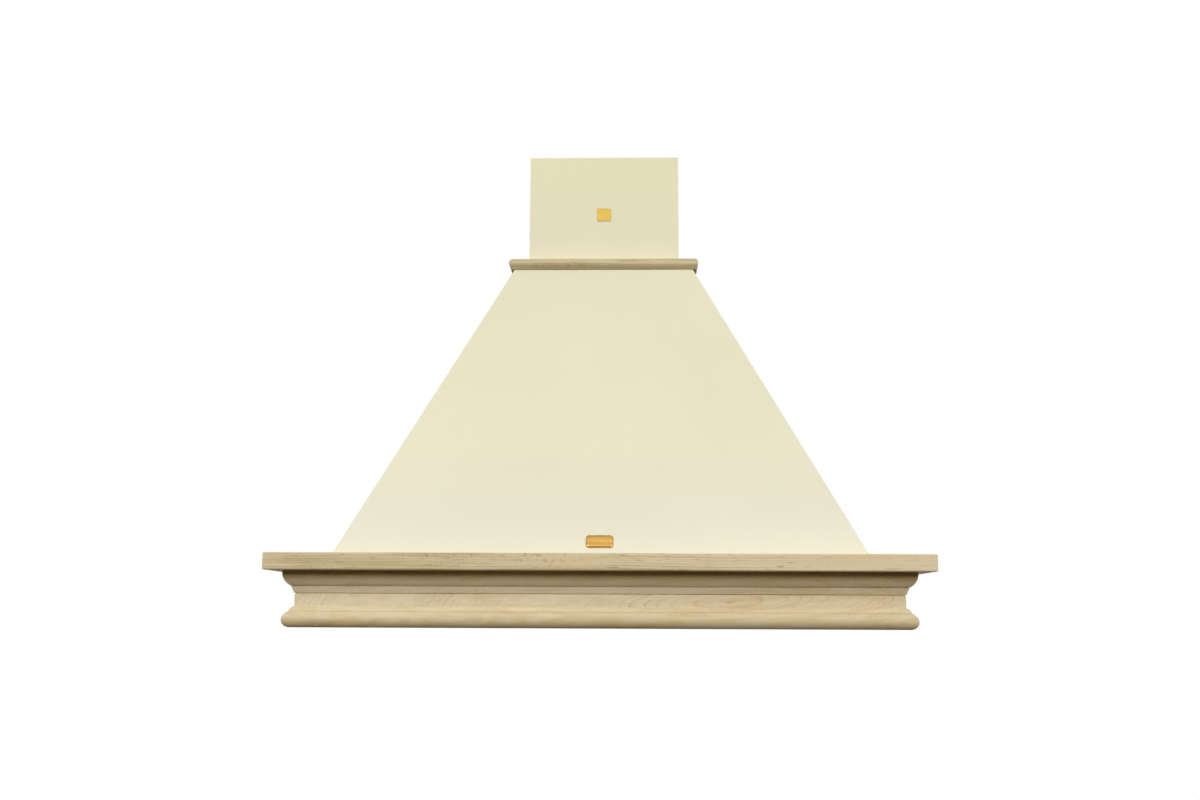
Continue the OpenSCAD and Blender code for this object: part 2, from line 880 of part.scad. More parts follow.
module lamp_body(side) {
    pitch = lamp_h / fin_count;
    z = recess + lens_t + close_fit;
    color(alloy) translate([side * lamp_x, strip_y, z]) difference() {
        cylinder(h = lamp_h, r = lamp_body_r);
        for (i = [1 : fin_count - 1]) translate([0, 0, i * pitch]) difference() {
            cylinder(h = pitch / 2, r = lamp_body_r + eps);
            translate([0, 0, -eps]) cylinder(h = pitch / 2 + 2 * eps, r = lamp_body_r - fin_depth);
        }
    }
}

module lamp_bezel_left() { lamp_bezel(-1); }
module lamp_bezel_right() { lamp_bezel(1); }
module lamp_lens_left() { lamp_lens(-1); }
module lamp_lens_right() { lamp_lens(1); }
module lamp_body_left() { lamp_body(-1); }
module lamp_body_right() { lamp_body(1); }

// Push buttons, which are pressed upward into the switch body
button_room = 0.4;
button_proud = button_travel + 1;
head_h = bezel_t + button_proud + 4;
stem_r = 2.5;
stem_h = 6;
switch_h = 24;
switch_z = recess;

module switch_bezel() {
    color(grey) difference() {
        translate([0, strip_y, recess - bezel_t])
            rounded_plate(switch_w + 2 * switch_lip, switch_d + 2 * switch_lip - 2, bezel_t, 4);
        for (i = [-2 : 2]) translate([i * button_pitch, strip_y, recess - bezel_t - eps])
            cylinder(h = bezel_t + 2 * eps, r = button_r + button_room);
    }
}

module switch_body() {
    head_top = recess - bezel_t - button_proud + head_h;
    color(dark) difference() {
        block(
            [-switch_w / 2, strip_y - switch_d / 2, switch_z],
            [switch_w / 2, strip_y + switch_d / 2, switch_z + switch_h]
        );
        for (i = [-2 : 2]) translate([i * button_pitch, strip_y, 0]) {
            translate([0, 0, switch_z - eps])
                cylinder(h = head_top + button_travel + 2 * eps - switch_z, r = button_r + button_room);
            translate([0, 0, switch_z])
                cylinder(h = head_top + stem_h + button_travel + eps - switch_z, r = stem_r + seat_gap);
        }
    }
}

module button(place) {
    low = recess - bezel_t - button_proud;
    color(frost) translate([place * button_pitch, strip_y, low]) union() {
        cylinder(h = 1, r1 = button_r - 1, r2 = button_r);
        translate([0, 0, 1]) cylinder(h = head_h - 1, r = button_r);
        translate([0, 0, head_h - eps]) cylinder(h = stem_h + eps, r = stem_r);
    }
}

module button_light() { button(-2); }
module button_off() { button(-1); }
module button_speed_1() { button(0); }
module button_speed_2() { button(1); }
module button_speed_3() { button(2); }

// Blower: a double inlet scroll whose outlet stands under the duct collar
scroll_room = 20;
scroll_r = impeller_r + scroll_room;
outlet_d = scroll_step + scroll_r + 2 * scroll_step;
axis_y = duct_y - outlet_d / 2 + scroll_step / 2;
axis_z = neck_z - blower_drop;
side_room = 7.5;
housing_in = impeller_w / 2 + side_room;
housing_out = housing_in + housing_wall;
outlet_drop = 88;
outlet_z = neck_z - outlet_drop;
inlet_lap = 8;
inlet_r = impeller_r - inlet_lap;
seam_w = 6;
seam_t = 2;
outlet_flange = 8;

// Scroll outline in (Y, Z): three quarter discs, each one step larger, and the outlet
module scroll(grow, top) {
    h = scroll_step / 2;
    reach = 2 * scroll_r;
    union() {
        translate([axis_y - h, axis_z - h]) intersection() {
            circle(scroll_r + grow);
            translate([-reach, 0]) square(reach);
        }
        translate([axis_y + h, axis_z - h]) intersection() {
            circle(scroll_r + scroll_step + grow);
            translate([-reach, -reach]) square(reach);
        }
        translate([axis_y + h, axis_z + h]) intersection() {
            circle(scroll_r + 2 * scroll_step + grow);
            translate([0, -reach]) square(reach);
        }
        translate([axis_y - h - grow, axis_z - h])
            square([outlet_d + 2 * grow, top - axis_z + h]);
    }
}

module housing_half() {
    color(grey) difference() {
        union() {
            from_x(0, housing_out) scroll(housing_wall, outlet_z);
            from_x(0, seam_t) scroll(housing_wall + seam_w, outlet_z - outlet_flange);
            block(
                [0, axis_y - scroll_step / 2 - outlet_flange, outlet_z - seam_t],
                [housing_out + outlet_flange, axis_y - scroll_step / 2 + outlet_d + outlet_flange, outlet_z]
            );
        }
        from_x(-eps, housing_in) scroll(0, outlet_z + eps);
        translate([housing_in - eps, axis_y, axis_z]) rotate([0, 90, 0])
            cylinder(h = housing_wall + 2 * eps, r = inlet_r);
    }
}

module blower_housing_right() { housing_half(); }
module blower_housing_left() { mirror([1, 0, 0]) housing_half(); }

// Bell mouth of an inlet
mouth_r = 5;

module inlet_ring() {
    color(dark) translate([housing_out, axis_y, axis_z]) rotate([0, 90, 0]) rotate_extrude() union() {
        intersection() {
            translate([inlet_r + mouth_r - 2, 0]) circle(mouth_r);
            translate([inlet_r - 2, 0]) square([2 * mouth_r, mouth_r]);
        }
        translate([inlet_r - 2, -housing_wall - 2]) square([2 - close_fit, housing_wall + 2 + eps]);
    }
}

module inlet_ring_right() { inlet_ring(); }
module inlet_ring_left() { mirror([1, 0, 0]) inlet_ring(); }

// Impeller: two rows of forward curved blades on a middle disc
blade_depth = 12;
blade_in = impeller_r - blade_depth;
blade_sweep = 14;
blade_t = 1;
blade_steps = 4;
ring_t = 2;
disc_t = 3;
hub_r = 11;
hub_l = 24;
shaft_r = 4;
turn = 180 / PI;

function blade_point(t, back) =
    let (r = blade_in + (impeller_r - 0.5 - blade_in) * t)
    let (a = blade_sweep * t * t + (back ? blade_t / r * turn : 0))
    [r * cos(a), r * sin(a)];

module blades() {
    outline = concat(
        [for (i = [0 : blade_steps]) blade_point(i / blade_steps, false)],
        [for (i = [blade_steps : -1 : 0]) blade_point(i / blade_steps, true)]
    );
    linear_extrude(impeller_w, center = true)
        for (i = [0 : blade_count - 1]) rotate(i * 360 / blade_count) polygon(outline);
}

module impeller() {
    color(alloy) translate([0, axis_y, axis_z]) rotate([0, 90, 0]) difference() {
        union() {
            blades();
            translate([0, 0, -disc_t / 2]) cylinder(h = disc_t, r = impeller_r);
            translate([0, 0, -hub_l + disc_t / 2]) cylinder(h = hub_l, r = hub_r);
            for (end = [-1, 1]) translate([0, 0, end * (impeller_w - ring_t) / 2]) difference() {
                cylinder(h = ring_t, r = impeller_r, center = true);
                cylinder(h = ring_t + 2 * eps, r = blade_in - eps, center = true);
            }
        }
        translate([0, 0, -far / 2]) cylinder(h = far, r = shaft_r + close_fit);
    }
}

// Motor, inside the right half of the impeller
motor_x = 10;
motor_l = 90;
stack_l = 34;
stack_low = 18;
stack_proud = 2;
end_step = 4;
boss_r = 12;
boss_l = 6;
shaft_end = 8;
shaft_start = hub_l - disc_t + 1;

module motor_body() {
    color(steel) translate([motor_x, axis_y, axis_z]) rotate([0, 90, 0]) difference() {
        union() {
            translate([0, 0, -boss_l / 2]) cylinder(h = boss_l, r = boss_r);
            cylinder(h = end_step, r1 = motor_r - end_step, r2 = motor_r);
            translate([0, 0, end_step]) cylinder(h = motor_l - 2 * end_step, r = motor_r);
            translate([0, 0, motor_l - end_step])
                cylinder(h = end_step, r1 = motor_r, r2 = motor_r - end_step);
            translate([0, 0, stack_low]) cylinder(h = stack_l, r = motor_r + stack_proud);
            translate([0, 0, motor_l - eps]) cylinder(h = boss_l, r = boss_r);
        }
        translate([0, 0, -2 * boss_l]) cylinder(h = motor_l, r = shaft_r + close_fit);
    }
}

module motor_shaft() {
    color(steel) translate([-shaft_start, axis_y, axis_z]) rotate([0, 90, 0])
        cylinder(h = shaft_start + motor_x + motor_l - 2 * boss_l - shaft_end, r = shaft_r);
}

// Spider that carries the motor on the right side of the housing
spider_t = 2.5;
spider_rim = 7;
spider_x = housing_out + mouth_r + seat_gap;
arm_w = 10;
foot_clear = 11;
foot_at = inlet_r + mouth_r + foot_clear;
foot_r = 4;

module motor_bracket() {
    color(zinc) translate([0, axis_y, axis_z]) rotate([0, 90, 0]) difference() {
        union() {
            translate([0, 0, spider_x]) cylinder(h = spider_t, r = motor_r + spider_rim);
            for (a = [60, 180, 300]) rotate(a) {
                translate([0, -arm_w / 2, spider_x]) cube([foot_at, arm_w, spider_t]);
                translate([foot_at, 0, housing_out])
                    cylinder(h = spider_x + spider_t - housing_out, r = foot_r);
            }
        }
        translate([0, 0, spider_x - eps]) cylinder(h = spider_t + 2 * eps, r = motor_r + close_fit);
    }
}

// Two angle brackets between the back panel and the housing
mount_drop = 96;
mount_z = outlet_z - mount_drop;
mount_h = 70;
mount_t = 1.5;
mount_x = 22;
mount_w = 24;

module blower_brackets() {
    front = axis_y - scroll_step / 2 + outlet_d + housing_wall;
    color(zinc) for (side = [-1, 1]) {
        low = side > 0 ? mount_x : -mount_x - mount_w;
        web = side > 0 ? mount_x + mount_w - mount_t : -mount_x - mount_w;
        union() {
            block([low, front, mount_z], [low + mount_w, front + mount_t, mount_z + mount_h]);
            block([low, -back_t - mount_t, mount_z], [low + mount_w, -back_t, mount_z + mount_h]);
            block([web, front, mount_z], [web + mount_t, -back_t, mount_z + mount_h]);
        }
    }
}

// Transition from the square outlet to the round collar
sleeve_h = 16;
sleeve_wall = 2.5;
sleeve_in = collar_r + seat_gap;

module outlet_shape(grow, z, h) {
    translate([-housing_in - grow, axis_y - scroll_step / 2 - grow, z])
        cube([2 * (housing_in + grow), outlet_d + 2 * grow, h]);
}

module outlet_transition() {
    low = outlet_z;
    top = neck_plate_z - sleeve_h;
    color(grey) union() {
        difference() {
            hull() {
                outlet_shape(housing_wall, low, 2);
                translate([0, duct_y, top - 1]) cylinder(h = 1, r = sleeve_in + sleeve_wall);
            }
            hull() {
                outlet_shape(0, low - eps, 2);
                translate([0, duct_y, top - 1]) cylinder(h = 1 + eps, r = sleeve_in);
            }
        }
        difference() {
            outlet_shape(outlet_flange, low, seam_t);
            outlet_shape(eps, low - eps, seam_t + 2 * eps);
        }
        translate([0, duct_y, top - eps]) difference() {
            cylinder(h = sleeve_h + eps, r = sleeve_in + sleeve_wall);
            translate([0, 0, -eps]) cylinder(h = sleeve_h + 3 * eps, r = sleeve_in);
        }
    }
}

// Duct collar with its two damper flaps on one rod
collar_low = neck_plate_z - sleeve_h + 1;
collar_top = neck_floor + collar_h;
collar_lip = 9;
collar_lip_t = 2;
rod_r = 2;
rod_up = 32;
rod_z = neck_floor + rod_up;
flap_gap = 1;
flap_t = 1.4;
knuckle_r = 3.4;
knuckle_w = 28;
knuckle_gap = 0.4;
stop_w = 2.2;
stop_h = 2;

module outlet_collar() {
    color(grey) translate([0, duct_y, 0]) difference() {
        union() {
            translate([0, 0, collar_low]) cylinder(h = collar_top - collar_low, r = collar_r);
            translate([0, 0, neck_floor]) cylinder(h = collar_lip_t, r = collar_r + collar_lip);
        }
        translate([0, 0, collar_low - eps]) difference() {
            cylinder(h = collar_top - collar_low + 2 * eps, r = collar_in);
            translate([0, 0, rod_z - collar_low - flap_t / 2 - stop_h]) difference() {
                cylinder(h = stop_h, r = collar_in + eps);
                translate([0, 0, -eps]) cylinder(h = stop_h + 2 * eps, r = collar_in - stop_w);
            }
        }
        translate([-collar_in - 1, 0, rod_z]) rotate([0, 90, 0])
            cylinder(h = 2 * collar_in + 2, r = rod_r + close_fit);
    }
}

module damper_rod() {
    half = collar_in + 0.8;
    color(steel) translate([-half, duct_y, rod_z]) rotate([0, 90, 0]) cylinder(h = 2 * half, r = rod_r);
}

// One flap: a half disc toward +Y, with knuckles at the places given
module flap(knuckles) {
    color(dark) translate([0, duct_y, rod_z]) difference() {
        union() {
            intersection() {
                translate([0, 0, -flap_t / 2]) cylinder(h = flap_t, r = collar_in - flap_gap);
                block([-collar_r, knuckle_r + knuckle_gap, -flap_t], [collar_r, collar_r, flap_t]);
            }
            for (x = knuckles) {
                translate([x - knuckle_w / 2, 0, 0]) rotate([0, 90, 0])
                    cylinder(h = knuckle_w, r = knuckle_r);
                block([x - knuckle_w / 2, 0, -flap_t / 2], [x + knuckle_w / 2, knuckle_r + 1, flap_t / 2]);
            }
        }
        translate([-collar_r, 0, 0]) rotate([0, 90, 0]) cylinder(h = 2 * collar_r, r = rod_r + 2 * close_fit);
    }
}

knuckle_step = knuckle_w + knuckle_gap;

module damper_flap_rear() {
    flap([-1.5 * knuckle_step, 0.5 * knuckle_step]);
}

module damper_flap_front() {
    translate([0, 2 * duct_y, 0]) mirror([0, 1, 0]) flap([-0.5 * knuckle_step, 1.5 * knuckle_step]);
}

// Control box on the back panel, with the motor's capacitor and the mains gland
box_w = 120;
box_h = 80;
box_d = 45;
box_wall = 2;
box_x = 0.48 * foot_x;
box_z = base_z + 30;
cap_r = 16;
cap_l = 60;
gland_wall = 3;
gland_low = 9;
gland_high = 8;
locknut_h = 5;
gland_nut_h = 6;
lid_lip_h = 4;

// A block as wide and as high as the control box less an inset, from one depth to another
module box_block(inset, front, back) {
    block([box_x + inset, front, box_z + inset], [box_x + box_w - inset, back, box_z + box_h - inset]);
}

module control_box() {
    color(dark) difference() {
        box_block(0, -back_t - box_d, -back_t);
        box_block(box_wall, -back_t - box_d - eps, -back_t - box_wall);
        translate([box_x + box_w / 4, -back_t - box_d / 2, box_z + box_h - box_wall - eps])
            cylinder(h = box_wall + 2 * eps, r = gland_r);
    }
}

module control_box_cover() {
    front = -back_t - box_d;
    color(dark) union() {
        box_block(0, front - box_wall, front);
        difference() {
            box_block(box_wall + seat_gap, front - eps, front + lid_lip_h);
            box_block(2 * box_wall + seat_gap, front - 2 * eps, front + lid_lip_h + eps);
        }
    }
}

module run_capacitor() {
    x = box_x + box_w - box_wall - cap_l - seat_gap;
    color(frost) translate([x, -back_t - box_wall - cap_r - seat_gap, box_z + box_wall + cap_r + seat_gap])
        rotate([0, 90, 0]) cylinder(h = cap_l, r = cap_r);
}

module cable_gland() {
    nut = gland_r + gland_wall;
    color(dark) translate([gland_x, gland_y, 0]) difference() {
        union() {
            translate([0, 0, neck_plate_z - gland_low])
                cylinder(h = gland_low + sheet + gland_high, r = gland_r);
            translate([0, 0, neck_plate_z - locknut_h]) cylinder(h = locknut_h, r = nut, $fn = 6);
            translate([0, 0, neck_floor]) cylinder(h = gland_nut_h, r = nut, $fn = 6);
            translate([0, 0, neck_floor + gland_nut_h])
                cylinder(h = 2 * gland_nut_h, r1 = nut - 1, r2 = gland_r - 1);
        }
        translate([0, 0, neck_plate_z - 2 * gland_low]) cylinder(h = 6 * gland_low, r = gland_r / 2);
    }
}

shelf_front();
shelf_left();
shelf_right();
cornice_front();
cornice_left();
cornice_right();
cornice_screws();
canopy_front_panel();
canopy_left_panel();
canopy_right_panel();
canopy_plate();
back_panel();
neck_plate();
neck_trim_front();
neck_trim_left();
neck_trim_right();
flue_cover_lower();
flue_cover_upper();
flue_badge();
flue_wall_bracket();
underside_panel();
underside_screws();
filter_hooks();
filter_frame_left();
filter_frame_right();
filter_mesh_left();
filter_mesh_right();
filter_latch_left();
filter_latch_right();
lamp_bezel_left();
lamp_bezel_right();
lamp_lens_left();
lamp_lens_right();
lamp_body_left();
lamp_body_right();
switch_bezel();
switch_body();
button_light();
button_off();
button_speed_1();
button_speed_2();
button_speed_3();
blower_housing_left();
blower_housing_right();
inlet_ring_left();
inlet_ring_right();
impeller();
motor_body();
motor_shaft();
motor_bracket();
blower_brackets();
outlet_transition();
outlet_collar();
damper_rod();
damper_flap_front();
damper_flap_rear();
control_box();
control_box_cover();
run_capacitor();
cable_gland();
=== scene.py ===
"""Finishes, filter meshes, printed marks, lights and camera for a range hood.

The hood has a painted canopy and flue cover over an oak shelf with an oak cornice. Everything is in
metres: X runs to the right, Y to the wall and Z up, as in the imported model.
"""

import math

import bmesh
import bpy
from mathutils import Matrix, Vector


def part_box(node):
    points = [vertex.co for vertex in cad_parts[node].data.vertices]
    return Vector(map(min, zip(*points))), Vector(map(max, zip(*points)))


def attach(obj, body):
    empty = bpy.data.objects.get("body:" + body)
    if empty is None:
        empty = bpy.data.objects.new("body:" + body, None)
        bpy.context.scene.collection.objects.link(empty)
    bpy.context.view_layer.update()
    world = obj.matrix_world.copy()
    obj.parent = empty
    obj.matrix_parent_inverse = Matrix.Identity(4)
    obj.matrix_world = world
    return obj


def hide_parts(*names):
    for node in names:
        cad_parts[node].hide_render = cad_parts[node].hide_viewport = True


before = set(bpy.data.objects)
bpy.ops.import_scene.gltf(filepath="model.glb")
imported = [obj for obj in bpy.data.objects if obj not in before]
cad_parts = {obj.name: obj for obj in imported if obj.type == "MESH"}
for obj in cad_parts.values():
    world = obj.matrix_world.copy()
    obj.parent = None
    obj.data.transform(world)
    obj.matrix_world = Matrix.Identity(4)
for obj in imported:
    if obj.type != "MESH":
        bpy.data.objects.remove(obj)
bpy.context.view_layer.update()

MM = 0.001
FLOAT, TINT, VECTOR = "NodeSocketFloat", "NodeSocketColor", "NodeSocketVector"


# Node trees

def add(tree, kind, settings=None, inputs=None):
    """Adds a node, sets its settings, and links or fills its inputs."""
    node = tree.nodes.new(kind)
    for name, value in (settings or {}).items():
        setattr(node, name, value)
    for key, value in (inputs or {}).items():
        if isinstance(value, bpy.types.NodeSocket):
            tree.links.new(value, node.inputs[key])
        else:
            node.inputs[key].default_value = value
    return node


def maths(tree, operation, first, second=0.0, third=0.0):
    """One operation on numbers."""
    inputs = {0: first, 1: second, 2: third}
    return add(tree, "ShaderNodeMath", {"operation": operation}, inputs).outputs[0]


def total(tree, *values):
    """The sum of several numbers."""
    result = values[0]
    for value in values[1:]:
        result = maths(tree, "ADD", result, value)
    return result


def vector_maths(tree, operation, first, second, third=(0.0, 0.0, 0.0)):
    """One operation on vectors."""
    inputs = {0: first, 1: second, 2: third}
    return add(tree, "ShaderNodeVectorMath", {"operation": operation}, inputs).outputs[0]


def axes(tree, vector):
    """The X, Y and Z of a vector."""
    return add(tree, "ShaderNodeSeparateXYZ", None, {0: vector}).outputs


def point(tree, x, y=0.0, z=0.0):
    """The vector with these three parts."""
    return add(tree, "ShaderNodeCombineXYZ", None, {0: x, 1: y, 2: z}).outputs[0]


def remap(tree, value, low, high, to_low=0.0, to_high=1.0):
    """Maps low..high to to_low..to_high, smoothly and clamped."""
    node = add(tree, "ShaderNodeMapRange", {"interpolation_type": "SMOOTHSTEP"}, {
        "Value": value, "From Min": low, "From Max": high, "To Min": to_low, "To Max": to_high})
    return node.outputs["Result"]


def mix(tree, amount, first, second, blend="MIX"):
    """Blends two colours."""
    node = add(tree, "ShaderNodeMix", {"data_type": "RGBA", "blend_type": blend}, {
        "Factor": amount, 6: first, 7: second})
    return node.outputs[2]


def brighten(tree, tint, value):
    """A colour with its brightness multiplied by a value."""
    node = add(tree, "ShaderNodeHueSaturation", None, {"Color": tint, "Value": value})
    return node.outputs["Color"]


# Nearly all values of a noise lie in the wide range, and most of them in the narrow one
WIDE, NARROW = (0.2, 0.8), (0.3, 0.7)


def noise(tree, vector, stretch, detail=2.0, roughness=0.5, output="Fac"):
    """Noise with so many features a metre along each axis; Fac puts out one number, Color three."""
    placed = vector_maths(tree, "MULTIPLY", vector, stretch)
    node = add(tree, "ShaderNodeTexNoise", None, {
        "Vector": placed, "Scale": 1.0, "Detail": detail, "Roughness": roughness})
    return node.outputs[output]


def even(value):
    """The same value along all three axes."""
    return (value, value, value)


def new_group(name, inputs, outputs):
    """A shader node group; inputs maps a name to its socket type and default value."""
    group = bpy.data.node_groups.new(name, "ShaderNodeTree")
    for label, (kind, value) in inputs.items():
        socket = group.interface.new_socket(name=label, in_out="INPUT", socket_type=kind)
        if value is not None:
            socket.default_value = value
    for label, kind in outputs.items():
        group.interface.new_socket(name=label, in_out="OUTPUT", socket_type=kind)
    given = group.nodes.new("NodeGroupInput").outputs
    end = group.nodes.new("NodeGroupOutput")
    return group, given, end


def put_out(group, end, **sockets):
    """Links sockets to the group's outputs of the same names."""
    for name, socket in sockets.items():
        group.links.new(socket, end.inputs[name])


def colour(red, green, blue):
    """A colour given by its 0 to 255 screen values, as the linear values that a shader takes."""
    def linear(value):
        value /= 255
        return value / 12.92 if value <= 0.04045 else ((value + 0.055) / 1.055) ** 2.4
    return (linear(red), linear(green), linear(blue), 1.0)


# What the group of each finish puts out
SURFACE = {"Color": TINT, "Roughness": FLOAT, "Height": FLOAT}


# Oak

# Where changes begin and end along a board, from the eye of its figure
LEFT_OF_EYE, RIGHT_OF_EYE, PALE_RUN = (-0.19, -0.13), (0.08, 0.15), (-0.15, 0.28)

# Where they begin and end up its face, from the pith: painted shade at the foot, calmer grain at the foot
# and painted warm shade at the head, under the shelf; and the painted shade line, away from the crease
PAINTED_SHADE_FOOT, CALM_FOOT, PAINTED_SHADE_HEAD = (-0.033, -0.014), (-0.016, -0.008), (0.017, 0.038)
CREASE_SHADE_EDGE = (0.0003, 0.0016)

# Where they begin and end in one ring, from its early wood at 0 to its late wood at 1
EARLY_ENDS, LATE_RISES = (0.12, 0.55), (0.30, 0.90)
LINE_RISES, LINE_FALLS = (0.74, 0.93), (0.95, 1.00)

# How the pith curves away from the eye, and how uneven the rings are, counted in rings
EYE_CURVE = 1.5
RAGGED, RING_SPREAD = 0.10, 1.6

# How clear the rings stay in their faintest year, and in faint and clear patches
FAINT_YEAR, FAINT_PATCH, CLEAR_PATCH = 0.45, 0.10, 0.70

# What the thin line has of the late wood's darkness, and the early wood of the pores
LINE_SHARE, EARLY_SHARE = 0.75, 0.55

# How far late wood, streaks and clouds move the colour from its light tint to its dark one
LATE_SHADE, STREAK_SHADE, CLOUD_SHADE = 0.60, 0.30, (-0.08, 0.12)

# How strongly warm and olive clouds tint the wood, and the tints of both and of the painted warm shade at
# the head
WARM_SHARE, OLIVE_SHARE = 0.30, 0.18
WARM_TINT, OLIVE_TINT, HEAD_SHADE_TINT = colour(250, 230, 212), colour(242, 238, 212), colour(226, 208, 164)
OAK_ROUGHNESS, PORE_ROUGHNESS = 0.60, 0.16


def way_from_pith(group, given, place):
    """Depth and height from the pith, which sinks on both sides of the eye and wanders along the board."""
    from_eye = maths(group, "POWER", maths(group, "ABSOLUTE", place["X"]), EYE_CURVE)
    drift = noise(group, given["Vector"], (4.0, 9.0, 9.0), 2.0, 0.4, "Color")
    sway = axes(group, vector_maths(group, "SUBTRACT", drift, even(0.5)))
    depth = maths(group, "MULTIPLY_ADD", from_eye, given["Eye Sink"], place["Y"])
    depth = maths(group, "MULTIPLY_ADD", sway["X"], given["Wander"], depth)
    height = maths(group, "MULTIPLY_ADD", place["X"], given["Eye Tilt"], place["Z"])
    height = maths(group, "MULTIPLY_ADD", sway["Y"], given["Wander"], height)
    return depth, height


def growth_rings(group, given, depth, height):
    """Rings of uneven width: how far through its ring a point lies, and a number for that ring's year."""
    squares = total(group, maths(group, "MULTIPLY", depth, depth), maths(group, "MULTIPLY", height, height))
    radius = maths(group, "POWER", squares, 0.5)
    ragged = remap(group, noise(group, given["Vector"], (70.0, 260.0, 260.0)), *WIDE, -RAGGED, RAGGED)
    rings = total(group, maths(group, "DIVIDE", radius, given["Ring Width"]), ragged)
    spread = noise(group, point(group, rings), (0.31, 1.0, 1.0), 1.0)
    rings = maths(group, "MULTIPLY_ADD", spread, RING_SPREAD, rings)
    year = noise(group, point(group, maths(group, "FLOOR", rings)), (0.37, 1.0, 1.0), 0.0)
    return maths(group, "FRACT", rings), year


def late_wood(group, given, place, share, year):
    """The dark end of each ring with its thin line, clear round the eye and in patches elsewhere."""
    line = maths(group, "SUBTRACT", remap(group, share, *LINE_RISES), remap(group, share, *LINE_FALLS))
    line = maths(group, "MULTIPLY", line, LINE_SHARE)
    late = maths(group, "MULTIPLY_ADD", remap(group, share, *LATE_RISES), 1.0 - LINE_SHARE, line)
    late = maths(group, "MULTIPLY", late, remap(group, year, *NARROW, FAINT_YEAR, 1.0))
    patches = noise(group, given["Vector"], (6.5, 4.0, 4.0), 1.0)
    patches = remap(group, patches, 0.42, 0.60, FAINT_PATCH, CLEAR_PATCH)
    near_eye = maths(group, "MULTIPLY", remap(group, place["X"], *LEFT_OF_EYE),
                     remap(group, place["X"], *RIGHT_OF_EYE, 1.0, 0.0))
    clear = maths(group, "MAXIMUM", patches, near_eye)
    calm = maths(group, "SUBTRACT", 1.0, remap(group, place["Z"], *CALM_FOOT, given["Foot Calm"], 0.0))
    return maths(group, "MULTIPLY", late, maths(group, "MULTIPLY", clear, calm))


def pores(group, given, trunk, share):
    """Dashes that follow the rings, because pores open in the early wood."""
    early = maths(group, "SUBTRACT", 1.0, remap(group, share, *EARLY_ENDS))
    dashes = remap(group, noise(group, trunk, (62.0, 760.0, 760.0), 1.0), 0.60, 0.70)
    clumps = remap(group, noise(group, given["Vector"], (9.0, 34.0, 34.0), 1.0), 0.42, 0.62)
    clumps = maths(group, "MULTIPLY", clumps, 1.0 - EARLY_SHARE)
    return maths(group, "MULTIPLY", dashes, maths(group, "MULTIPLY_ADD", early, EARLY_SHARE, clumps))


def cross_marks(group, given):
    """Short marks across the grain, in patches."""
    marks = remap(group, noise(group, given["Vector"], (210.0, 150.0, 150.0), 1.0), 0.55, 0.68)
    patches = remap(group, noise(group, given["Vector"], (7.0, 16.0, 16.0), 1.0), 0.50, 0.66)
    return maths(group, "MULTIPLY", maths(group, "MULTIPLY", marks, patches), given["Cross Marks"])


def oak_shade(group, given, place, late, streaks):
    """How far a point goes from the light tint to the dark one, with painted shade added towards the foot
    and in a thin line along the crease.
    """
    figure = total(
        group,
        maths(group, "MULTIPLY", late, LATE_SHADE),
        remap(group, streaks, 0.32, 0.70, 0.0, STREAK_SHADE),
        remap(group, noise(group, given["Vector"], (3.0, 16.0, 16.0)), *NARROW, *CLOUD_SHADE),
        cross_marks(group, given),
    )
    pale = remap(group, place["X"], *PALE_RUN, 0.0, given["Pale End"])
    # Painted shade: the wood grows darker towards the foot of the board
    foot = remap(group, place["Z"], *PAINTED_SHADE_FOOT, given["Foot Shade"], 0.0)
    # Painted shade: a thin dark line either side of the crease between bead and nose
    off_crease = maths(group, "ABSOLUTE", maths(group, "SUBTRACT", place["Z"], given["Crease Height"]))
    painted_crease = remap(group, off_crease, *CREASE_SHADE_EDGE, given["Painted Crease Shade"], 0.0)
    shade = maths(group, "SUBTRACT", maths(group, "MULTIPLY", figure, given["Contrast"]), pale)
    return total(group, shade, total(group, foot, painted_crease))


def oak_tint(group, given, place, shade):
    """The wood's colour before its pores, with warm and olive clouds and a painted warm shade at the head,
    under the shelf.
    """
    wood = mix(group, shade, given["Light"], given["Dark"])
    hue = noise(group, given["Vector"], (7.0, 36.0, 36.0))
    wood = mix(group, remap(group, hue, 0.50, 0.68, 0.0, WARM_SHARE), wood, WARM_TINT, "MULTIPLY")
    wood = mix(group, remap(group, hue, 0.50, 0.34, 0.0, OLIVE_SHARE), wood, OLIVE_TINT, "MULTIPLY")
    # Painted shade: a warm darker tint at the head, under the shelf
    head_shade = remap(group, place["Z"], *PAINTED_SHADE_HEAD, 0.0, given["Painted Head Shade"])
    return mix(group, head_shade, wood, HEAD_SHADE_TINT, "MULTIPLY")


